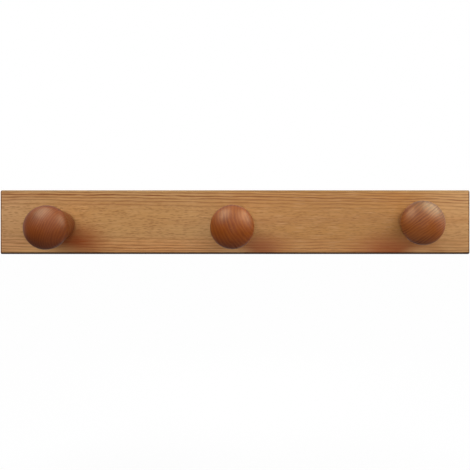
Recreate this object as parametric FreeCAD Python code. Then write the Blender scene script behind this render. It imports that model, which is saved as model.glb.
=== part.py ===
"""A wall-hung peg rail: one plain beech board with three turned pegs, screwed on from behind.

Two steel keyhole plates, let into the back of the board, hang it on two screws in the wall.

The pieces are drawn face-on, as a joiner would set them out on the wall: x runs to the right
along the board, y runs up it, and z is the distance out from the wall. The board's back face
lies on the wall at z = 0, with the middle of that face at the origin. All lengths are in mm.
When they are written out, the pieces are turned so that z of the drawing becomes -Y and y
becomes +Z, which makes +Z up and leaves the front facing -Y.
"""
import FreeCAD, Part
import math
import os
from collections import namedtuple

Vec = FreeCAD.Vector

# Board
BOARD_LENGTH = 440.0
BOARD_HEIGHT = 60.0
BOARD_THICKNESS = 18.0
LONG_ARRIS_ROUND = 2.0  # front edges along the grain, well rounded over
END_ARRIS_ROUND = 1.0  # edges of the sawn ends, only eased
BACK_ARRIS_CHAMFER = 0.5

# Pegs: bored by eye, so each has its own distance from the board's end and above its centre line
PEG_END_MARGINS = {"left": 57.5, "right": 53.5}  # the middle peg is half-way along the board
PEG_RISES = {"left": -2.5, "middle": -2.0, "right": 1.5}

# Turned peg: a flat seat, a straight taper, a rounded rim and a domed crown
PEG_SEAT_DIAMETER = 24.4
PEG_HEAD_DIAMETER = 38.7
PEG_RIM_HEIGHT = 31.0  # from the seat to the widest ring
PEG_CROWN_DEPTH = 14.5  # from the widest ring to the tip of the dome
PEG_RIM_ROUND_SHARE = 0.68  # radius of the rim, as a share of the crown's depth

# Keyhole hanger plates, standing upright in the back of the board
PLATE_END_MARGIN = 100.0  # from the board's end to the plate's middle
PLATE_RISE = 3.0  # plate centres above the board's centre line
PLATE_LENGTH = 42.0
PLATE_WIDTH = 16.0
PLATE_THICKNESS = 2.0
PLATE_EDGE_ROUND = 0.4
PLATE_HOLE_SPACING = 31.0
KEYHOLE_ENTRY_DIAMETER = 9.5
KEYHOLE_SLOT_WIDTH = 5.0
KEYHOLE_RISE = 11.0  # from the centre of the entry to the centre of the slot's round end
POCKET_DEPTH = 5.5  # behind the plate, for the head of the wall screw
POCKET_MARGIN = 1.5  # around the keyhole

# Screws: countersunk head, plain shank, thread core and gimlet point
Screw = namedtuple("Screw", "head_diameter shank_diameter core_diameter length point_length")
PEG_SCREW = Screw(head_diameter=8.0, shank_diameter=4.0, core_diameter=2.8, length=36.0, point_length=4.0)
PLATE_SCREW = Screw(head_diameter=6.2, shank_diameter=3.2, core_diameter=2.2, length=14.0, point_length=3.0)
RECESS_SPAN_SHARE = 0.56  # cross recess: the length of a blade, in head diameters
RECESS_WIDTH_SHARE = 0.13
RECESS_DEPTH_SHARE = 0.24
RECESS_FLOOR_SHARE = 0.45  # size of the recess's floor against its mouth

# Fits
PLATE_SETBACK = 0.2  # the plates lie this far inside the wall face, so that the board touches first
PLATE_FIT = 0.2
SCREW_SETBACK = 0.4  # the peg screws' heads lie this far inside the wall face
SHANK_FIT = 0.15
THREAD_FIT = 0.05
CUT_OVERRUN = 1.0


def moved(shape, x, y, z):
    """A copy of the shape, shifted from where it was drawn."""
    copy = shape.copy()
    copy.translate(Vec(x, y, z))
    return copy


def turned(curves):
    """The solid that a lathe leaves: a closed outline in x and z, turned about the z axis."""
    outline = Part.Wire([curve.toShape() for curve in curves])
    return Part.Face(outline).revolve(Vec(0, 0, 0), Vec(0, 0, 1), 360)


def closed_sides(points):
    """Straight sides through the points and back to the first."""
    return [Part.LineSegment(a, b) for a, b in zip(points, points[1:] + points[:1])]


def upright_bar(length, width, thickness):
    """A flat bar with round ends, standing along y about the origin, its back at z = 0."""
    radius = width / 2
    reach = length / 2 - radius
    right = Part.LineSegment(Vec(radius, -reach, 0), Vec(radius, reach, 0))
    top = Part.Arc(Vec(radius, reach, 0), Vec(0, reach + radius, 0), Vec(-radius, reach, 0))
    left = Part.LineSegment(Vec(-radius, reach, 0), Vec(-radius, -reach, 0))
    bottom = Part.Arc(Vec(-radius, -reach, 0), Vec(0, -reach - radius, 0), Vec(radius, -reach, 0))
    outline = Part.Wire([side.toShape() for side in (right, top, left, bottom)])
    return Part.Face(outline).extrude(Vec(0, 0, thickness))


def screw_solid(screw, through, shank_fit, thread_fit, overrun):
    """A screw's turned form, from the face of its head at z = 0 to its point.

    The head is a right-angled cone. The shank runs through the piece that the screw holds down and
    ends there, where the thread's core begins. The fits grow the form into the hole for that screw,
    and the overrun carries the hole on past the head.
    """
    head = screw.head_diameter / 2 + shank_fit
    shank = screw.shank_diameter / 2 + shank_fit
    core = screw.core_diameter / 2 + thread_fit
    cone_end = head - shank
    shank_end = max(through, cone_end + SHANK_FIT) + shank_fit
    point_end = screw.length + thread_fit
    mouth = [Vec(0, 0, -overrun), Vec(head, 0, -overrun)] if overrun else [Vec(0, 0, 0)]
    shaft = [Vec(shank, 0, cone_end), Vec(shank, 0, shank_end), Vec(core, 0, shank_end)]
    point = [Vec(core, 0, point_end - screw.point_length), Vec(0, 0, point_end)]
    return turned(closed_sides(mouth + [Vec(head, 0, 0)] + shaft + point))


def cross_recess(screw):
    """Two tapered blades, crossed at right angles, where the driver's tip goes in."""
    half_span = screw.head_diameter * RECESS_SPAN_SHARE / 2
    half_width = screw.head_diameter * RECESS_WIDTH_SHARE / 2
    depth = screw.head_diameter * RECESS_DEPTH_SHARE

    def blade(x, y):
        rings = []
        for z, share in ((0, 1), (depth, RECESS_FLOOR_SHARE)):
            corners = [(-x, -y), (x, -y), (x, y), (-x, y), (-x, -y)]
            rings.append(Part.makePolygon([Vec(a * share, b * share, z) for a, b in corners]))
        return Part.makeLoft(rings, True, True)

    return blade(half_span, half_width).fuse(blade(half_width, half_span))


def make_screw(screw, through):
    return screw_solid(screw, through, 0, 0, 0).cut(cross_recess(screw))


def screw_hole(screw, through):
    return screw_solid(screw, through, SHANK_FIT, THREAD_FIT, CUT_OVERRUN)


def make_peg():
    """One turned peg, standing on its seat at z = 0, before its pilot hole is bored.

    The taper is the tangent from the edge of the seat to the rounded rim of the head, and the crown
    is the one arc that runs on from that round and lies square to the axis at the tip.
    """
    seat = PEG_SEAT_DIAMETER / 2
    tip = PEG_RIM_HEIGHT + PEG_CROWN_DEPTH
    rim_radius = PEG_CROWN_DEPTH * PEG_RIM_ROUND_SHARE
    rim_centre = PEG_HEAD_DIAMETER / 2 - rim_radius

    reach = math.hypot(rim_centre - seat, PEG_RIM_HEIGHT)
    taper_angle = math.atan2(PEG_RIM_HEIGHT, rim_centre - seat) - math.asin(rim_radius / reach)
    rim_start = taper_angle - math.pi / 2
    crown_radius = (rim_centre**2 + PEG_CROWN_DEPTH**2 - rim_radius**2) / (2 * (PEG_CROWN_DEPTH - rim_radius))
    crown_centre = tip - crown_radius
    rim_end = math.atan2(PEG_RIM_HEIGHT - crown_centre, rim_centre)

    def on_rim(angle):
        return Vec(rim_centre + rim_radius * math.cos(angle), 0, PEG_RIM_HEIGHT + rim_radius * math.sin(angle))

    def on_crown(angle):
        return Vec(crown_radius * math.cos(angle), 0, crown_centre + crown_radius * math.sin(angle))

    outline = [
        Part.LineSegment(Vec(0, 0, 0), Vec(seat, 0, 0)),
        Part.LineSegment(Vec(seat, 0, 0), on_rim(rim_start)),
        Part.Arc(on_rim(rim_start), on_rim((rim_start + rim_end) / 2), on_rim(rim_end)),
        Part.Arc(on_rim(rim_end), on_crown((rim_end + math.pi / 2) / 2), Vec(0, 0, tip)),
        Part.LineSegment(Vec(0, 0, tip), Vec(0, 0, 0)),
    ]
    return turned(outline)


def keyhole(grow, depth):
    """The keyhole's form, grown all round: a round entry with a slot that rises from it."""
    entry = Part.makeCylinder(KEYHOLE_ENTRY_DIAMETER / 2 + grow, depth, Vec(0, -KEYHOLE_RISE / 2, 0))
    slot_width = KEYHOLE_SLOT_WIDTH + 2 * grow
    return entry.fuse(upright_bar(KEYHOLE_RISE + slot_width, slot_width, depth))


def make_plate():
    """One keyhole plate, its wall side at z = 0, with a countersunk hole above and below the keyhole."""
    plate = upright_bar(PLATE_LENGTH, PLATE_WIDTH, PLATE_THICKNESS)
    wall_side = [edge for edge in plate.Edges if edge.BoundBox.ZMax < PLATE_THICKNESS / 2]
    plate = plate.makeFillet(PLATE_EDGE_ROUND, wall_side)
    plate = plate.cut(moved(keyhole(0, PLATE_THICKNESS + 2 * CUT_OVERRUN), 0, 0, -CUT_OVERRUN))
    hole = screw_hole(PLATE_SCREW, PLATE_THICKNESS)
    for way in (-1, 1):
        plate = plate.cut(moved(hole, 0, way * PLATE_HOLE_SPACING / 2, 0))
    return plate


def plate_recess():
    """What is routed out of the board for one plate: its bed, the screw-head pocket and pilot holes."""
    bed_depth = PLATE_SETBACK + PLATE_THICKNESS
    bed = upright_bar(PLATE_LENGTH + 2 * PLATE_FIT, PLATE_WIDTH + 2 * PLATE_FIT, bed_depth + CUT_OVERRUN)
    pocket = keyhole(POCKET_MARGIN, bed_depth + POCKET_DEPTH + CUT_OVERRUN)
    recess = moved(bed.fuse(pocket), 0, 0, -CUT_OVERRUN)
    hole = screw_hole(PLATE_SCREW, PLATE_THICKNESS)
    for way in (-1, 1):
        recess = recess.fuse(moved(hole, 0, way * PLATE_HOLE_SPACING / 2, PLATE_SETBACK))
    return recess


def make_board(pegs, plates):
    """The board, with its edges eased, bored for the pegs' screws and routed for the plates."""
    corner = Vec(-BOARD_LENGTH / 2, -BOARD_HEIGHT / 2, 0)
    board = Part.makeBox(BOARD_LENGTH, BOARD_HEIGHT, BOARD_THICKNESS, corner)
    front = [edge for edge in board.Edges if edge.BoundBox.ZMin > BOARD_THICKNESS / 2]
    along_grain = [edge for edge in front if edge.BoundBox.XLength > BOARD_LENGTH / 2]
    board = board.makeFillet(LONG_ARRIS_ROUND, along_grain)
    front = [edge for edge in board.Edges if edge.BoundBox.ZMin > BOARD_THICKNESS / 2]
    across_ends = [edge for edge in front if edge.BoundBox.YLength > BOARD_HEIGHT / 2
                   and abs(edge.BoundBox.Center.x) > BOARD_LENGTH / 4]
    board = board.makeFillet(END_ARRIS_ROUND, across_ends)
    back = [edge for edge in board.Edges if edge.BoundBox.ZMax < BOARD_THICKNESS / 4]
    board = board.makeChamfer(BACK_ARRIS_CHAMFER, back)
    hole = screw_hole(PEG_SCREW, BOARD_THICKNESS - SCREW_SETBACK)
    for x, y in pegs.values():
        board = board.cut(moved(hole, x, y, SCREW_SETBACK))
    for x, y in plates.values():
        board = board.cut(moved(plate_recess(), x, y, 0))
    return board


def make_parts():
    """Every piece by name, in its place."""
    half_length = BOARD_LENGTH / 2
    peg_columns = {
        "left": PEG_END_MARGINS["left"] - half_length,
        "middle": 0,
        "right": half_length - PEG_END_MARGINS["right"],
    }
    pegs = {side: (x, PEG_RISES[side]) for side, x in peg_columns.items()}
    plate_column = half_length - PLATE_END_MARGIN
    plates = {"left": (-plate_column, PLATE_RISE), "right": (plate_column, PLATE_RISE)}
    parts = {"rail_board": make_board(pegs, plates)}

    through_board = BOARD_THICKNESS - SCREW_SETBACK
    peg_screw = make_screw(PEG_SCREW, through_board)
    peg = make_peg().cut(moved(screw_hole(PEG_SCREW, through_board), 0, 0, -through_board))
    for side, (x, y) in pegs.items():
        parts[f"peg_{side}"] = moved(peg, x, y, BOARD_THICKNESS)
        parts[f"peg_screw_{side}"] = moved(peg_screw, x, y, SCREW_SETBACK)

    plate = make_plate()
    plate_screw = make_screw(PLATE_SCREW, PLATE_THICKNESS)
    for side, (x, y) in plates.items():
        parts[f"keyhole_plate_{side}"] = moved(plate, x, y, PLATE_SETBACK)
        for place, way in (("upper", 1), ("lower", -1)):
            screw_y = y + way * PLATE_HOLE_SPACING / 2
            parts[f"plate_screw_{side}_{place}"] = moved(plate_screw, x, screw_y, PLATE_SETBACK)
    return parts


def main():
    upright = FreeCAD.Placement(Vec(0, 0, 0), FreeCAD.Rotation(Vec(1, 0, 0), 90))
    os.makedirs("parts", exist_ok=True)
    for name, shape in make_parts().items():
        shape.Placement = upright.multiply(shape.Placement)
        shape.exportStep(f"parts/{name}.step")
        print(f"{name}: {len(shape.Solids)} solid, {shape.Volume:.0f} mm3, valid {shape.isValid()}")


main()
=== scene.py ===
# %% [markdown]
# # A wall-hung peg rail
# A straight beech board carries three turned pegs, stained darker than the board. Two steel keyhole
# plates in its back hang it on the wall. The shapes were drawn as solids beforehand, in metres, and
# this lesson dresses them: camera, studio, wood, steel and threads. Their box is kept from the
# start.

# %% Load the drawn rail
import math
from types import SimpleNamespace

import bpy
import numpy as np
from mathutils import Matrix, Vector


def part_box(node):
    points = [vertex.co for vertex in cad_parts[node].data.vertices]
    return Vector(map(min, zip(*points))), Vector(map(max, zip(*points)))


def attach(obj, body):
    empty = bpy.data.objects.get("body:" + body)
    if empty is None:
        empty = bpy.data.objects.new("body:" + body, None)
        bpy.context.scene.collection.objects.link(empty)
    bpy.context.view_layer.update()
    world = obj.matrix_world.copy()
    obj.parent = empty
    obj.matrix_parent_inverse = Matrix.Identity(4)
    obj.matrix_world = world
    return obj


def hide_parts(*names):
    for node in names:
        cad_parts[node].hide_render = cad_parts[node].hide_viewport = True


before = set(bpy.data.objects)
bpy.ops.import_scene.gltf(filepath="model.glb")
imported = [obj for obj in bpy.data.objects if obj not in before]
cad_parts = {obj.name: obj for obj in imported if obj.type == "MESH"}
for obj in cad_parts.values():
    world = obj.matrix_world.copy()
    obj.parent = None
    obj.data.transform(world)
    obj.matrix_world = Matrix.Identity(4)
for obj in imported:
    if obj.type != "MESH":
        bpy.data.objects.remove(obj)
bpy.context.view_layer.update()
board_low, board_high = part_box("rail_board")
board_face = board_low.y

# %% [markdown]
# ## The camera
# The photographer stood the board square to the picture: its edges are level and its ends upright,
# so the camera looks straight along +Y without any tilt. The knobs show where it stood. Each head
# is nearer to the camera than its foot, so it seems pushed outwards, away from the point that the
# camera faces: the left head far to the left, the right one hardly to the right, and all of them
# down. That puts the camera a little right of the middle and above the board. Turning the camera
# would make the board's edges slope, so the lens is shifted instead, as on a view camera.

# %% Camera
PICTURE_SIZE = 470
BOARD_WIDTH_IN_PICTURE = 469.7
BOARD_MIDDLE_IN_PICTURE = (235.0, 222.3)
CAMERA_RIGHT = 0.036
CAMERA_ABOVE = 0.029
CAMERA_DISTANCE = 0.459

pixel = (board_high.x - board_low.x) / BOARD_WIDTH_IN_PICTURE
picture_width = PICTURE_SIZE * pixel
middle_across, middle_down = BOARD_MIDDLE_IN_PICTURE
lens = bpy.data.cameras.new("camera")
lens.lens = lens.sensor_width * CAMERA_DISTANCE / picture_width
lens.shift_x = 0.5 - middle_across / PICTURE_SIZE - CAMERA_RIGHT / picture_width
lens.shift_y = middle_down / PICTURE_SIZE - 0.5 - CAMERA_ABOVE / picture_width
camera = bpy.data.objects.new("camera", lens)
camera.location = (CAMERA_RIGHT, board_face - CAMERA_DISTANCE, CAMERA_ABOVE)
camera.rotation_euler = (math.radians(90), 0, 0)
scene = bpy.context.scene
scene.collection.objects.link(camera)
scene.camera = camera
scene.view_settings.view_transform = "Standard"
print(f"one pixel is {pixel * 1000:.4f} mm and the lens {lens.lens:.1f} mm")
print(f"the lens is shifted by {lens.shift_x:.3f} and {lens.shift_y:.3f} of the picture")

# %% [markdown]
# ## Sums on surfaces
# A finish is a sum over the surface: where the rings lie, how dark they are, how rough that makes
# the lacquer. Nodes could be placed and linked one by one, but a page of links hides the sum. So
# one small class wraps a socket. Plain operators on it add Math nodes, and its one method node()
# makes any other node from its kind, its settings and the values or links of its sockets.

# %% A socket that can be reckoned with
class Socket:
    """An output socket of a node tree. Sums on it add Math nodes; node() adds any other node."""

    def __init__(self, tree, link=None):
        self.tree = tree
        self.link = link

    def node(self, kind, settings=None, sockets=None, output=0):
        """Adds a node: settings first, then the values or links of its sockets, by name or number."""
        made = self.tree.nodes.new("ShaderNode" + kind)
        for name, setting in (settings or {}).items():
            setattr(made, name, setting)
        for name, value in (sockets or {}).items():
            if isinstance(value, Socket):
                self.tree.links.new(value.link, made.inputs[name])
            else:
                made.inputs[name].default_value = value
        return Socket(self.tree, made.outputs[output] if made.outputs else None)

    def math(self, operation, first, second=0.0):
        """One Math node: the operation on a value, or on two."""
        return self.node("Math", {"operation": operation}, {0: first, 1: second})

    def __add__(self, other):
        return self.math("ADD", self, other)

    def __sub__(self, other):
        return self.math("SUBTRACT", self, other)

    def __rsub__(self, other):
        return self.math("SUBTRACT", other, self)

    def __mul__(self, other):
        return self.math("MULTIPLY", self, other)

    def __truediv__(self, other):
        return self.math("DIVIDE", self, other)

    def __pow__(self, other):
        return self.math("POWER", self, other)

    def __abs__(self):
        return self.math("ABSOLUTE", self)

    __radd__ = __add__
    __rmul__ = __mul__

    def rising(self, low, high):
        """0 below low, 1 above high and a smooth step between; falling where low is above high."""
        return self.node(
            "MapRange",
            {"interpolation_type": "SMOOTHSTEP"},
            {"Value": self, "From Min": low, "From Max": high},
        )

    def mix(self, start, end):
        """The colour start where this value is 0, the colour end where it is 1."""
        return self.node("Mix", {"data_type": "RGBA"}, {0: self, 6: start, 7: end}, output=2)


def colour(red, green, blue):
    """A colour as screens give it, 0 to 255, in the linear values that shaders take."""
    share = np.array([red, green, blue]) / 255
    linear = np.where(share <= 0.04045, share / 12.92, ((share + 0.055) / 1.055) ** 2.4)
    return (*linear.tolist(), 1.0)


print("a middle grey on screen is", round(colour(128, 128, 128)[0], 3), "to a shader")

# %% [markdown]
# ## The studio
# The picture is a cut-out on white. A white floor in strong light would throw that light back up and
# wash out the dark undersides of the knobs. So the world is white only to rays from the camera and
# gives hardly any light. Lacquer and steel mirror it as well: half as bright as white behind the
# rail, and a dim room in front of it, where a photographer stands. A white tent all round would be
# simpler, but it would lay a milky film over every gloss.

# %% Surround
WHITE = (1, 1, 1, 1)
SURROUND_LIGHT = 0.03
MIRRORED_WHITE = 0.5
BACKDROP_IN_SKY = (0.0, 0.6)


def looked_at(tree, backdrop):
    """1 for rays from the camera, the backdrop's share for mirrored and refracted ones, 0 for light."""
    path = Socket(tree)
    seen = path.node("LightPath", output="Is Camera Ray")
    glossy = path.node("LightPath", output="Is Glossy Ray")
    refracted = path.node("LightPath", output="Is Transmission Ray")
    return path.math("MAXIMUM", seen, path.math("MAXIMUM", glossy, refracted) * backdrop)


def fresh_tree(block):
    """The node tree of a material or world, emptied."""
    block.use_nodes = True
    block.node_tree.nodes.clear()
    return block.node_tree


world = bpy.data.worlds.new("studio")
scene.world = world
tree = fresh_tree(world)
direction = Socket(tree).node("TexCoord", output="Generated")
backward = direction.node("SeparateXYZ", sockets={0: direction}, output="Y")
seen = looked_at(tree, backward.rising(*BACKDROP_IN_SKY) * MIRRORED_WHITE)
white = Socket(tree).node("Background", sockets={"Color": WHITE, "Strength": 1.0})
dim = Socket(tree).node("Background", sockets={"Color": WHITE, "Strength": SURROUND_LIGHT})
surround = white.node("MixShader", sockets={0: seen, 1: dim, 2: white})
surround.node("OutputWorld", sockets={"Surface": surround})
print("the surround gives", SURROUND_LIGHT, "of the light that it shows")

# %% [markdown]
# ## The floor
# The rail hangs on a wall, but the picture shows none, so a plain pale floor well below it takes its
# shadow. It works as the surround does: a soft grey to the light, which keeps the knobs' undersides
# dark, and nearly white to the camera. Close to the rail a little less white is mixed in, so that
# the shadow can be seen there, and further off it runs into the white without an edge.

# %% Floor
FLOOR_LEVEL = -0.40
FLOOR_REACH = 12.0
FLOOR_TO_LIGHT = colour(125, 125, 125)
FLOOR_TO_CAMERA = colour(250, 250, 250)
WHITENED_NEAR = 0.85
WHITENED_FAR = 0.99
NEAR_TO_FAR = (0.45, 0.65)
BACKDROP_ON_FLOOR = (0.2, 1.2)

floor_material = bpy.data.materials.new("floor")
tree = fresh_tree(floor_material)
on_floor = Socket(tree).node("TexCoord", output="Object")
backward = on_floor.node("SeparateXYZ", sockets={0: on_floor}, output="Y")
reach = on_floor.node("VectorMath", {"operation": "LENGTH"}, {0: on_floor}, output="Value")
whitened = WHITENED_NEAR + reach.rising(*NEAR_TO_FAR) * (WHITENED_FAR - WHITENED_NEAR)
seen = looked_at(tree, backward.rising(*BACKDROP_ON_FLOOR) * MIRRORED_WHITE)
pale = seen.mix(FLOOR_TO_LIGHT, FLOOR_TO_CAMERA)
lit = pale.node("BsdfDiffuse", sockets={"Color": pale})
plain_white = Socket(tree).node("Emission", sockets={"Color": WHITE, "Strength": 1.0})
floor_look = lit.node("MixShader", sockets={0: seen * whitened, 1: lit, 2: plain_white})
floor_look.node("OutputMaterial", sockets={"Surface": floor_look})

floor_mesh = bpy.data.meshes.new("floor")
corners = FLOOR_REACH * np.array([(-1, -1, 0), (1, -1, 0), (1, 1, 0), (-1, 1, 0)])
floor_mesh.from_pydata(corners + (0, 0, FLOOR_LEVEL), [], [(0, 1, 2, 3)])
floor_mesh.materials.append(floor_material)
floor = bpy.data.objects.new("floor", floor_mesh)
scene.collection.objects.link(floor)
print("floor at", FLOOR_LEVEL, "m")

# %% [markdown]
# ## The lamps
# In the photograph every knob has two highlights, at its upper left and its upper right, and soft
# shade underneath. One pair of lamps could make both, but then a brighter highlight would also
# deepen the shade. So two warm lamps make the highlights alone, and broad white lamps, which no
# gloss mirrors, make the shade. One of these stands behind the board, for views of its back.

# %% Lamps
WARM = (0.97, 1.0, 0.69)
# Place, the point it faces, its side in metres and its power in watts
HIGHLIGHT_LAMPS = {
    "lamp_left": ((-0.302, -0.175, 0.457), (-0.10, 0, 0), 0.42, 2.70),
    "lamp_right": ((0.372, -0.105, 0.305), (0.12, 0, 0), 0.40, 2.45),
}
# Place and power; a broad lamp faces a point some way out to its own side of the rail
BROAD_LAMPS = {
    "broad_front_left": ((-0.40, -0.45, 0.40), 1.46),
    "broad_front_right": ((0.40, -0.45, 0.40), 1.46),
    "broad_front_top": ((0.00, -0.45, 0.40), 0.90),
    "broad_front_low": ((0.09, -0.65, 0.00), 0.95),
    "broad_top": ((-0.14, -0.08, 0.60), 0.85),
    "broad_side_left": ((-0.40, -0.20, 0.25), 0.45),
    "broad_side_right": ((0.65, -0.10, 0.08), 2.10),
    "broad_behind": ((0.00, 0.80, 0.10), 5.00),
}
BROAD_SIZE = 0.4
AIMED_SHARE = 0.3
AIMED_LIMIT = 0.12


def soft_lamp(name, place, target, size, power, tint=(1, 1, 1)):
    """A square area lamp of that side, at place, facing target, hidden from the camera itself."""
    lamp = bpy.data.lights.new(name, "AREA")
    lamp.color = tint
    lamp.shape = "SQUARE"
    lamp.size = size
    lamp.energy = power
    holder = bpy.data.objects.new(name, lamp)
    holder.location = place
    holder.rotation_euler = (Vector(target) - Vector(place)).to_track_quat("-Z", "Y").to_euler()
    holder.visible_camera = False
    scene.collection.objects.link(holder)
    return holder


for name, (place, target, size, power) in HIGHLIGHT_LAMPS.items():
    soft_lamp(name, place, target, size, power, WARM).visible_diffuse = False
for name, (place, power) in BROAD_LAMPS.items():
    aimed_at = float(np.clip(place[0] * AIMED_SHARE, -AIMED_LIMIT, AIMED_LIMIT))
    soft_lamp(name, place, (aimed_at, 0, 0), BROAD_SIZE, power).visible_glossy = False
print(len(HIGHLIGHT_LAMPS), "lamps for highlights,", len(BROAD_LAMPS), "for shade")

# %% [markdown]
# ## Wood as a solid
# Real grain isn't printed on a surface: the growth rings run through the whole block, and every cut
# shows them differently. So the wood here is a solid pattern, reckoned in millimetres from the
# object's own coordinates. Rings are cylinders round the pith of the tree, streaks and fibres are
# noise stretched along the trunk, and the cut ends of the rays are short dashes.

# %% Helpers for solid wood
MILLIMETRE = 0.001


def in_millimetres(tree, centre=(0, 0, 0), turn=0.0):
    """Object coordinates in mm from centre, turned about the Y axis by so many degrees."""
    coordinates = Socket(tree).node("TexCoord", output="Object")
    sockets = {
        "Vector": coordinates,
        "Location": centre,
        "Rotation": (0, math.radians(turn), 0),
        "Scale": (MILLIMETRE, MILLIMETRE, MILLIMETRE),
    }
    return coordinates.node("Mapping", {"vector_type": "TEXTURE"}, sockets)


def apart(place):
    """The x, y and z of a place as three sockets."""
    return [place.node("SeparateXYZ", sockets={0: place}, output=axis) for axis in range(3)]


def in_cells(place, lengths):
    """A place counted in cells of the given lengths in mm along x, y and z."""
    scale = tuple(1 / length for length in lengths)
    return place.node("Mapping", sockets={"Vector": place, "Scale": scale})


def stretched_noise(place, lengths, detail=2.0):
    """Soft noise around 0, whose blobs have the given lengths in mm along x, y and z."""
    sockets = {"Vector": in_cells(place, lengths), "Scale": 1.0, "Detail": detail}
    return place.node("TexNoise", sockets=sockets) - 0.5


def dashes(place, lengths, size):
    """Separate spindle-shaped dashes, one to a cell: 1 near its middle, 0 from size cells away."""
    off = place.node("TexVoronoi", sockets={"Vector": in_cells(place, lengths), "Scale": 1.0})
    return off.rising(size, size * 0.4)


def ring_lines(rings):
    """Late wood in each ring: it darkens slowly and ends at once, and some years are darker."""
    year = rings.math("FLOOR", rings)
    strength = year.node("TexWhiteNoise", {"noise_dimensions": "1D"}, {"W": year})
    age = rings.math("FRACT", rings)
    return age.rising(0.3, 0.85) * age.rising(1.0, 0.9) * (0.45 + strength * 0.55)


print("wood is reckoned in units of", MILLIMETRE, "m")

# %% [markdown]
# ## The board's grain
# The saw passed beside the pith, which lies behind this board. Its face meets the rings flat in the
# middle and steeply near its edges: a calm middle with the rays as short dashes, and close lines
# along both edges. Stripes on the face would be quicker, but they would end at its rim. Rings round
# a pith line come out right on the edges and ends too. The pith wanders, so the lines waver.

# %% Grain of the board
PITH_BEHIND = 14.0
PITH_SLOPE = 0.006
RING_WIDTH = 1.55
RAY_CELLS = (5.0, 3.0, 1.15)
RAY_SIZE = 0.52


def board_grain(place):
    """The grain at a place: a ring's number is the distance from the pith line over the ring width.

    The late wood of the rings shows as lines where the distance changes steeply across the face,
    and the rays show where it doesn't. The rest is noise, stretched along the board.
    """
    x, y, z = apart(place)
    waver = stretched_noise(place, (170, 60, 60), 1.0) * 9
    waver = waver + stretched_noise(place, (45, 20, 14), 1.0) * 2.2
    across = z + x * PITH_SLOPE + waver
    radius = (across ** 2 + (PITH_BEHIND - y) ** 2) ** 0.5
    years = ring_lines(radius / RING_WIDTH + stretched_noise(place, (22, 5, 3)) * 0.7)
    steep = (abs(across) / radius).rising(0.25, 0.6)
    return SimpleNamespace(
        years=years,
        lines=years * (0.12 + steep * 0.88),
        rays=dashes(place, RAY_CELLS, RAY_SIZE) * (1 - steep * 0.8),
        streaks=stretched_noise(place, (17, 2, 0.8), 3.0),
        fibres=stretched_noise(place, (30, 0.7, 0.35)),
        drift=stretched_noise(place, (110, 60, 26)),
        shade=stretched_noise(place, (160, 30, 9)),
    )


face_behind = PITH_BEHIND - board_face / MILLIMETRE
edge_radius = math.hypot(face_behind, board_high.z / MILLIMETRE)
print(f"{(edge_radius - face_behind) / RING_WIDTH:.1f} rings from the middle of the face to an edge")

# %% [markdown]
# ## Painted shade and light beside the pegs
# The board is painted redder and darker beside each peg, where the knobs cast their shadows: a
# painted shadow, to the right of the left and middle pegs and to the left of the right one. Close
# under the heads it is painted paler, painted light that lifts the shade the lamps leave there, and
# round each foot a darker ring is painted shade where peg meets board. Such zones could be painted
# on by hand. Soft ellipses measured from each peg's axis do it with a few numbers that can be read
# and changed, and they stay with the pegs.

# %% Painted shade and light beside the pegs
# Millimetres aside of the axis and below it, half width, half height, and a strength
# Painted shadow beside each peg, redder and darker
SHADOW_ZONES = {
    "peg_left": (12, 16, 40, 25, 0.90),
    "peg_middle": (23, 22, 38, 20, 0.66),
    "peg_right": (-18, 28, 54, 26, 0.74),
}
# Painted light under each head, paler, against the shade the lamps leave there
LIGHT_ZONES = {
    "peg_left": (-14, 26, 56, 11.5, 0.68),
    "peg_middle": (0, 27, 24, 9, 0.68),
    "peg_right": (7, 30, 22, 9, 0.56),
}
# Painted shade round each foot: none from the first distance from the axis, full at the second, in mm
FOOT_SHADE_REACH = (15.0, 12.3)


def middle_of(node):
    """The middle of a peg's box in metres, a point on its axis."""
    low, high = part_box(node)
    return (low + high) / 2


def from_peg(x, z, node):
    """How far a place lies to the right of a peg's axis and above it, in mm."""
    axis = middle_of(node) / MILLIMETRE
    return x - axis.x, z - axis.z


def beside_peg(x, z, node, aside, below, wide, tall, strength):
    """A soft ellipse of that half width and half height, its middle aside of the axis and below it."""
    along, above = from_peg(x, z, node)
    off = ((along - aside) / wide) ** 2 + ((above + below) / tall) ** 2
    return (off ** 0.5).rising(1.0, 0.0) * strength


def round_peg(x, z, node):
    """1 at a peg's foot and 0 a few mm outside it, by the distance from its axis."""
    along, above = from_peg(x, z, node)
    return ((along ** 2 + above ** 2) ** 0.5).rising(*FOOT_SHADE_REACH)


def board_painted_light(place):
    """The sums over all pegs of painted shadow, painted light, and painted shade round the feet."""
    x, _, z = apart(place)
    return SimpleNamespace(
        painted_shadow=sum(beside_peg(x, z, node, *zone) for node, zone in SHADOW_ZONES.items()),
        painted_light=sum(beside_peg(x, z, node, *zone) for node, zone in LIGHT_ZONES.items()),
        foot_shade=sum(round_peg(x, z, node) for node in SHADOW_ZONES),
    )


for node in SHADOW_ZONES:
    axis = middle_of(node) / MILLIMETRE
    print(f"{node}: its axis is at x {axis.x:.1f} and z {axis.z:.1f} mm")

# %% [markdown]
# ## Bare wood behind
# The back and the recesses for the plates got no lacquer, apart from some that ran round the long
# edges, and the planer left shallow waves there. A second material on those faces would meet the
# first in a hard line. A mask in one material can follow the ragged edge of the lacquer.

# %% Bare wood of the board
# In millimetres; a pair is the start and the end of a soft step
RECESS_ASIDE = 120
RECESS_ABOVE = 3
RECESS_HALF_WIDTH = 9
RECESS_HALF_HEIGHT = 22
RECESS_BOTTOM = (-9, -8)
BACK_FACE = (-0.45, -0.25)
LACQUER_RAN_TO = (27.5, 29.0)
PLANER_WAVE = 4.6


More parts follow.
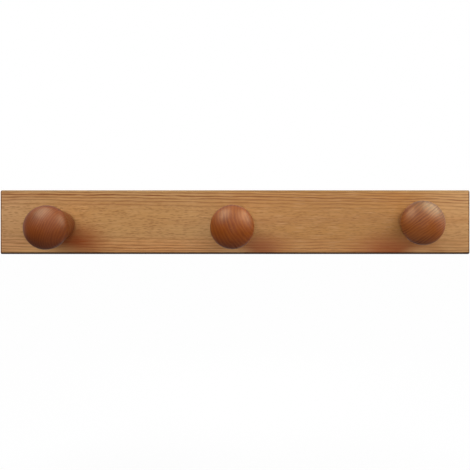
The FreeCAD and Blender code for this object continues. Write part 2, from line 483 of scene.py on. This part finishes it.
def bare_wood(place):
    """1 where no lacquer came: on the back inside a ragged rim, and in boxes round the recesses."""
    x, y, z = apart(place)
    aside = (abs(abs(x) - RECESS_ASIDE) - RECESS_HALF_WIDTH).rising(0.5, 0.0)
    level = (abs(z - RECESS_ABOVE) - RECESS_HALF_HEIGHT).rising(0.5, 0.0)
    ragged = abs(z) + stretched_noise(place, (7, 7, 7), 3.0) * 7
    back = y.rising(*BACK_FACE) * (1 - ragged.rising(*LACQUER_RAN_TO))
    return place.math("MAXIMUM", back, aside * level * y.rising(*RECESS_BOTTOM))


def planer_waves(place):
    """A sine along the board, whose crests waver."""
    x, _, _ = apart(place)
    phase = x * (2 * math.pi / PLANER_WAVE) + stretched_noise(place, (60, 60, 14), 1.0) * 5
    return phase.math("SINE", phase)


print("planer waves", PLANER_WAVE, "mm apart")

# %% [markdown]
# ## From sums to a finish
# Every finish here ends alike: coats of colour are laid one over the other, and the result goes into
# one shader together with the gloss and a shallow relief. What is the same all over, such as how
# metallic a finish is, is set on the shader itself. The drawn solids keep their shapes and take the
# finish through their own material slots.

# %% Coats, shader and slots
def coats(ground, *layers):
    """The ground colour with each layer laid over it, by its mask and its tone."""
    for mask, tone in layers:
        ground = mask.mix(ground, tone)
    return ground


def surface(base, roughness, height, strength, depth, constants):
    """Ends a material: colour, roughness, a relief of that depth in metres, and constant sockets."""
    relief = height.node("Bump", sockets={"Strength": strength, "Distance": depth, "Height": height})
    varying = {"Base Color": base, "Roughness": roughness, "Normal": relief}
    shader = base.node("BsdfPrincipled", sockets={**varying, **constants})
    shader.node("OutputMaterial", sockets={"Surface": shader})


def dress(material, *nodes):
    """Gives these drawn pieces a finish, by their own material slots."""
    for node in nodes:
        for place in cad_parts[node].material_slots:
            place.material = material
    print(material.name, "on", ", ".join(nodes))


print("finishes for", len(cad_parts), "pieces to come")

# %% [markdown]
# ## The colours of the board
# Honey-coloured beech under a clear satin lacquer, more amber in its right half. Both ends are
# painted paler, a painted sheen of the lamps near them, and the lower face, most on the left, is
# painted lighter, painted light against the lamps' fall towards the bottom. The grain is clearest at
# the upper left. The long edges of the face are painted darker as painted shade, which dims the light
# that the upper one catches and leaves the lower one nearly black. The sawn ends drank more lacquer
# and turned brown, and their front edges are painted darker still, as painted shade. One picture of
# wood could be wrapped round the board, but it would show neither its other sides nor its marks.
# Coats of colour over a solid grain do, and each can be judged by itself.

# %% Board wood
HONEY_DEEP, HONEY_PALE = colour(191, 140, 83), colour(197, 151, 97)
# The second colour on this line is painted light for the lower part of the face
AMBER, LOW_BAND_LIGHT = colour(188, 124, 51), colour(214, 150, 93)
# Painted sheen: paler colours for the two ends of the board
RIGHT_END_SHEEN, LEFT_END_SHEEN = colour(208, 160, 108), colour(208, 164, 126)
SHADED, LATE_WOOD, RAY = colour(180, 124, 72), colour(130, 72, 34), colour(130, 80, 43)
STREAK_PALE, STREAK_DARK = colour(208, 160, 107), colour(138, 86, 45)
# The second colour on this line is painted shadow beside the pegs
FIBRE, SHADOW_RED = colour(148, 98, 56), colour(159, 76, 33)
# On this line: painted light under the heads, then painted shade round the feet
PAINTED_LIGHT_PALE, FOOT_SHADE_BROWN = colour(232, 180, 120), colour(112, 52, 24)
# Painted shade: the three edge colours on this line darken the long edges and the front of the ends
UPPER_ARRIS_SHADE, LOWER_ARRIS_SHADE, END_ARRIS_SHADE = colour(142, 102, 45), colour(52, 29, 16), colour(58, 35, 20)
END_PALE, END_DARK = colour(148, 104, 67), colour(90, 58, 35)
RAW_PALE, RAW_DARK, RAW_FIBRE = colour(206, 170, 126), colour(168, 122, 80), colour(150, 112, 76)
# Soft steps in millimetres
FRONT_FACE = (-15.5, -16.5)
FRONT_ARRIS = (-14.5, -16.2)
SAWN_ENDS = (218.4, 219.3)


def board_wood():
    """Beech for the board: masks of grain, painted shade and light and bare wood, each with its colour.
    """
    material = bpy.data.materials.new("board_wood")
    place = in_millimetres(fresh_tree(material))
    x, y, z = apart(place)
    grain, painted_zones, bare = board_grain(place), board_painted_light(place), bare_wood(place)
    planed = planer_waves(place) * bare
    front = y.rising(*FRONT_FACE)
    arris = y.rising(*FRONT_ARRIS)
    ends = abs(x).rising(*SAWN_ENDS)
    rightward = x.rising(-60, 60)
    clear = 1.04 - rightward * 0.27 + z * 0.0062
    flecked = 0.44 - rightward * 0.12
    end_grain = grain.years + grain.rays * 0.3 + grain.streaks * 0.5
    raw = coats(
        (grain.lines * 0.5 + grain.rays * 0.3).mix(RAW_PALE, RAW_DARK),
        (planed * 0.05 + grain.fibres.rising(0.0, 0.4) * 0.35, RAW_FIBRE),
    )
    base = coats(
        (grain.drift * 2.2 + 0.5).mix(HONEY_DEEP, HONEY_PALE),
        (x.rising(-40, 60) * x.rising(200, 150) * 0.5, AMBER),
        # Lighter towards the bottom, most on the left: painted light against the lamps' fall
        (z.rising(-12.0, -20.0) * (0.6 - rightward * 0.35), LOW_BAND_LIGHT),
        # Paler towards both ends: a painted sheen of the lamps near them
        (x.rising(165, 212) * 0.5, RIGHT_END_SHEEN),
        (x.rising(-165, -212) * 0.3, LEFT_END_SHEEN),
        ((grain.shade * 1.1 + 0.1).rising(0.0, 0.6), SHADED),
        (grain.lines * clear, LATE_WOOD),
        (grain.rays * flecked, RAY),
        (grain.streaks.rising(0.0, 0.26) * 0.8, STREAK_PALE),
        (grain.streaks.rising(-0.03, -0.26) * 0.55, STREAK_DARK),
        (grain.fibres.rising(0.05, 0.4) * 0.5, FIBRE),
        # Painted shadow beside the pegs, painted light under the heads and painted shade round the feet
        (painted_zones.painted_shadow * front * (1 + grain.streaks * 1.6), SHADOW_RED),
        (painted_zones.painted_light * front, PAINTED_LIGHT_PALE),
        (painted_zones.foot_shade * front * 0.25, FOOT_SHADE_BROWN),
        # Darker upper, lower and end edges of the face: painted shade
        (z.rising(27.8, 28.8) * arris * 0.72, UPPER_ARRIS_SHADE),
        (z.rising(-27.4, -28.6) * arris * 0.92, LOWER_ARRIS_SHADE),
        (ends * (0.72 + arris * 0.2), end_grain.mix(END_PALE, END_DARK)),
        (ends * arris * 0.55, END_ARRIS_SHADE),
        (bare, raw),
    )
    roughness = 0.42 + grain.lines * 0.08 + grain.fibres * 0.2 + bare * 0.33
    height = grain.streaks * 0.25 + grain.fibres * 0.35 - grain.lines * 0.3
    height = height - grain.rays * 0.3 + planed * 0.35
    satin = {"Specular IOR Level": 0.38}
    surface(base, roughness, height, strength=0.35, depth=0.0002, constants=satin)
    return material


dress(board_wood(), "rail_board")

# %% [markdown]
# ## The pegs
# Each peg was turned from a square of beech with the grain along its axis, so its dome is end grain:
# the rings cross it as nearly straight lines, which run down its sides. Every peg came from another
# place in the tree, and was screwed on as it came, so the lines lie at another angle on each. The
# red-brown stain differs a little as well. The upper right of the middle and right pegs is painted
# greyer, a painted highlight that whitens the gloss there, and each foot has a rim of painted shade.
# One wood shared by all three would look stamped, so one function makes three woods.

# %% Peg wood
# The turn is in degrees, the pith's distance and the ring width in millimetres
# The last value is how strongly the upper right is painted greyer, as a painted highlight
PEG_WOODS = {
    "peg_left": {
        "turn": -72.0, "pith": 90.0, "ring_width": 1.8, "seed": 3.0,
        "dark": colour(116, 51, 13), "light": colour(134, 64, 21), "contrast": 0.40, "painted_sheen": 0.0,
    },
    "peg_middle": {
        "turn": 68.0, "pith": -45.0, "ring_width": 2.9, "seed": 11.0,
        "dark": colour(130, 58, 8), "light": colour(150, 73, 12), "contrast": 0.48, "painted_sheen": 0.12,
    },
    "peg_right": {
        "turn": -37.0, "pith": 80.0, "ring_width": 2.3, "seed": 23.0,
        "dark": colour(132, 64, 18), "light": colour(152, 81, 30), "contrast": 0.68, "painted_sheen": 0.72,
    },
}
# The first tone on this line greys the upper right as a painted highlight
SHEEN_GREY, STAIN_EARLY, STAIN_LATE = colour(120, 92, 68), colour(180, 109, 40), colour(97, 42, 13)
# The last tone on this line darkens the foot as painted shade
STAIN_FINE, STAIN_RAY, FOOT_RIM_SHADE = colour(113, 52, 17), colour(172, 102, 40), colour(72, 34, 18)
LATHE_STEP = 0.7
LATHE_SLOPE = 0.7


def peg_grain(place, pith, ring_width, seed):
    """Rings round a pith line along Y, pith mm from the peg's axis, broken up by stretched noise."""
    x, y, z = apart(place)
    moved = place.node("VectorMath", {"operation": "ADD"}, {0: place, 1: (seed, seed * 3, seed * 7)})
    waver = stretched_noise(moved, (26, 60, 20)) * 5
    radius = ((z + pith + waver) ** 2 + x ** 2) ** 0.5
    rings = radius / ring_width + stretched_noise(moved, (11, 40, 4)) * 1.3
    age = rings.math("FRACT", rings)
    whole = (stretched_noise(moved, (12, 30, 3)) * 2.4 + 0.55).rising(0.0, 1.0)
    out = (x ** 2 + z ** 2) ** 0.5
    turned = (out - y * LATHE_SLOPE) * (2 * math.pi / LATHE_STEP)
    turned = turned + stretched_noise(moved, (6, 6, 6)) * 6
    return SimpleNamespace(
        lines=ring_lines(rings) * whole,
        early=age.rising(0.0, 0.12) * age.rising(0.5, 0.2),
        fine=stretched_noise(moved, (7, 30, 0.5)),
        rays=stretched_noise(moved, (0.35, 25, 5)),
        drift=stretched_noise(moved, (25, 40, 18)),
        lathe_marks=turned.math("SINE", turned),
    )


def peg_wood(node, turn, pith, ring_width, seed, dark, light, contrast, painted_sheen):
    """Stained beech for a peg: its grain, a painted highlight above and painted shade at its foot."""
    material = bpy.data.materials.new("wood_" + node)
    tree = fresh_tree(material)
    middle = middle_of(node)
    foot = board_face / MILLIMETRE
    sideways, outwards, upwards = apart(in_millimetres(tree, (middle.x, 0, middle.z)))
    grain = peg_grain(in_millimetres(tree, (middle.x, 0, middle.z), turn), pith, ring_width, seed)
    base = coats(
        (grain.drift * 2.4 + 0.5).mix(dark, light),
        # Greyer towards the upper right: a painted highlight that whitens the gloss there
        ((upwards + sideways * 0.5).rising(2, 20) * painted_sheen, SHEEN_GREY),
        (grain.early * (contrast * 0.4), STAIN_EARLY),
        (grain.lines * contrast, STAIN_LATE),
        (grain.fine.rising(0.03, 0.3) * 0.5, STAIN_FINE),
        (grain.rays.rising(0.05, 0.35) * 0.35, STAIN_RAY),
        # Darker rim at the foot, where the peg meets the board: painted shade
        (outwards.rising(foot - 1.2, foot - 0.2) * 0.6, FOOT_RIM_SHADE),
    )
    roughness = 0.40 + grain.lines * 0.2 + grain.drift * 0.1
    height = grain.lathe_marks * 0.05 + grain.fine * 0.2 - grain.lines * 0.25
    semi_gloss = {"Specular IOR Level": 0.5}
    surface(base, roughness, height, strength=0.3, depth=0.0002, constants=semi_gloss)
    return material


for node, wood in PEG_WOODS.items():
    dress(peg_wood(node, **wood), node)

# %% [markdown]
# ## Steel
# The plates are pressed from zinc-plated strip, bright with fine rolling lines and a dulled, spotted
# film. The screws are yellow-plated. A plain metal would look like a mirror, so clouds, lines and
# spots of noise vary its colour and gloss, as they do on plating.

# %% Plated steel
def plated_steel(name, bright, dull):
    """Plated steel: cloudy zinc, fine lines from rolling, and duller spots."""
    material = bpy.data.materials.new(name)
    place = in_millimetres(fresh_tree(material))
    clouds = stretched_noise(place, (3, 3, 3), 3.0)
    rolled = stretched_noise(place, (0.25, 4, 9))
    spots = stretched_noise(place, (0.8, 0.8, 0.8))
    base = coats((clouds * 2 + 0.5).mix(bright, dull), (spots.rising(0.08, 0.25) * 0.5, dull))
    roughness = 0.34 + clouds * 0.3 + rolled * 0.15
    height = rolled * 0.5 + spots * 0.2
    surface(base, roughness, height, strength=0.2, depth=0.0001, constants={"Metallic": 1.0})
    return material


plates = [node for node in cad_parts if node.startswith("keyhole_plate")]
dress(plated_steel("plate_steel", colour(216, 218, 219), colour(164, 167, 169)), *plates)
screw_steel = plated_steel("screw_steel", colour(230, 200, 130), colour(182, 150, 88))

# %% [markdown]
# ## Wood screws
# Three long screws hold the pegs from behind, and four short ones the plates. In the solids they are
# plain countersunk pins. A real one has a cross recess and a thread, which starts below the smooth
# shank and runs out at the point. A recess cut with a boolean leaves a ragged mesh, so each screw is
# one closed skin instead: rings of points from the middle of the recess over the head, down the cone
# and the shank and round the thread to the tip. A cross is star-shaped, which means that a ray from
# its middle leaves it only once. So its outline is a radius for each angle, and every ring of the
# recess is that outline at another size.

# %% Rings of a screw
# The recess in shares of the head's diameter, its floor as a share of its mouth
RECESS_SPAN = 0.56
RECESS_WING = 0.13
RECESS_DEPTH = 0.24
RECESS_FLOOR = 0.45
RECESS_RINGS = 4
FACE_SHARES = (0.4, 0.75, 1.0)
HEAD_EDGE = 0.12
ROWS_IN_A_TURN = 8
RIDGE_WIDTH = 0.22

wing_corner = math.atan2(RECESS_WING, RECESS_SPAN)
on_wing_end = np.linspace(0, wing_corner, 3, endpoint=False)
on_wing_side = np.linspace(wing_corner, math.pi / 4, 6)
eighth = np.concatenate([on_wing_end, on_wing_side])
quarter = np.concatenate([-eighth[:0:-1], eighth[:-1]])
round_axis = np.concatenate([quarter + turn * math.pi / 2 for turn in range(4)])
to_wing_end = RECESS_SPAN / np.cos(quarter)
to_wing_side = RECESS_WING / np.maximum(abs(np.sin(quarter)), 1e-9)
cross = np.tile(np.minimum(to_wing_end, to_wing_side), 4) / 2


def screw_rings(length, head, shank, core, point, smooth, pitch):
    """Radius and depth in mm of every ring point of a screw with these diameters and lengths.

    The recess shrinks to its floor in a straight wall. The face runs from the cross to the head's
    edge, the cone comes in as fast as it goes down, and the smooth shank ends where the thread
    starts. There the radius is the core's plus a ridge, at its highest where depth divided by pitch
    is half a turn ahead of the angle; both come together to nothing over the point.
    """
    flat = np.ones_like(cross)
    mouth = cross * head
    edge = head / 2 - 2 * HEAD_EDGE
    radii = [mouth * size for size in np.linspace(RECESS_FLOOR, 1, RECESS_RINGS)]
    depths = [flat * depth for depth in np.linspace(RECESS_DEPTH * head, 0, RECESS_RINGS)]
    radii += [mouth + (edge - mouth) * share for share in FACE_SHARES]
    depths += [flat * 0 for share in FACE_SHARES]
    radii += [flat * radius for radius in (head / 2 - HEAD_EDGE, shank / 2, shank / 2)]
    depths += [flat * depth for depth in (HEAD_EDGE, (head - shank) / 2, smooth)]
    rows = np.arange(smooth + pitch / 4, length - pitch / 16, pitch / ROWS_IN_A_TURN)
    depth = rows[:, None] + 0 * round_axis
    taper = np.clip((length - depth) / point, 0, 1)
    phase = (depth / pitch - round_axis / (2 * math.pi)) % 1
    ridge = np.clip(1 - abs(phase - 0.5) / RIDGE_WIDTH, 0, 1)
    ridge = ridge * np.clip((depth - smooth) / pitch - 0.25, 0, 1)
    radius = taper * (core / 2 + (shank - core) / 2 * ridge)
    return np.vstack([*radii, radius]), np.vstack([*depths, depth])


print(len(round_axis), "points to a ring")

# %% [markdown]
# ## Screws in their places
# Each threaded screw takes the place of a plain one, with its face where the plain one's is, and
# rides with the rail. Screws driven by hand stop at any angle, so each is turned a little further
# than the last. Copies of one mesh would need a turned object, and a pattern reckoned from the
# object's coordinates would turn with it, so every screw gets a mesh of its own.

# %% Screws in their places
# Sizes in millimetres and turns in radians
PEG_SCREW = {
    "length": 36.0, "head": 8.0, "shank": 4.0, "core": 2.8, "point": 4.0, "smooth": 17.6, "pitch": 1.8,
}
PLATE_SCREW = {
    "length": 14.0, "head": 6.2, "shank": 3.2, "core": 2.2, "point": 3.0, "smooth": 2.0, "pitch": 1.4,
}
PEG_SCREW_TURNS = {"left": 0.4, "middle": 1.5, "right": 2.6}
PLATE_SCREW_TURNS = {"left_upper": 0.2, "left_lower": 1.1, "right_upper": 2.0, "right_lower": 2.9}
SHARP_FROM = math.radians(35)


def closed_skin(rings, first, last):
    """Corners and faces of rings of points, joined ring to ring and closed by a point at each end."""
    rows, columns = rings.shape[:2]
    corners = np.vstack([rings.reshape(-1, 3), first, last])
    number = np.arange(rows * columns).reshape(rows, columns)
    after = np.roll(number, -1, axis=1)
    walls = np.stack([number[:-1], after[:-1], after[1:], number[1:]], axis=-1).reshape(-1, 4)
    end = np.full(columns, rows * columns)
    first_cap = np.stack([end, after[0], number[0]], axis=-1)
    last_cap = np.stack([number[-1], after[-1], end + 1], axis=-1)
    return corners, walls.tolist() + first_cap.tolist() + last_cap.tolist()


def wood_screw(node, turn, sizes):
    """A threaded screw in the place of a plain one: its face looks along +Y and its point along -Y."""
    low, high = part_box(node)
    radius, depth = screw_rings(**sizes)
    angle = round_axis + turn
    top = np.array([(low.x + high.x) / 2, high.y, (low.z + high.z) / 2])
    rings = np.stack([radius * np.cos(angle), -depth, radius * np.sin(angle)], axis=-1) / 1000 + top
    recess_middle = top - (0, RECESS_DEPTH * sizes["head"] / 1000, 0)
    corners, faces = closed_skin(rings, recess_middle, top - (0, sizes["length"] / 1000, 0))
    mesh = bpy.data.meshes.new(node + "_threaded")
    mesh.from_pydata(corners, [], faces)
    mesh.materials.append(screw_steel)
    mesh.shade_smooth()
    mesh.set_sharp_from_angle(angle=SHARP_FROM)
    piece = bpy.data.objects.new(node + "_threaded", mesh)
    scene.collection.objects.link(piece)
    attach(piece, "root")
    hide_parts(node)
    print(f"{piece.name}: {len(corners)} corners, {(high.y - low.y) * 1000:.2f} mm long as a solid")


for side, turn in PEG_SCREW_TURNS.items():
    wood_screw("peg_screw_" + side, turn, PEG_SCREW)
for corner, turn in PLATE_SCREW_TURNS.items():
    wood_screw("plate_screw_" + corner, turn, PLATE_SCREW)
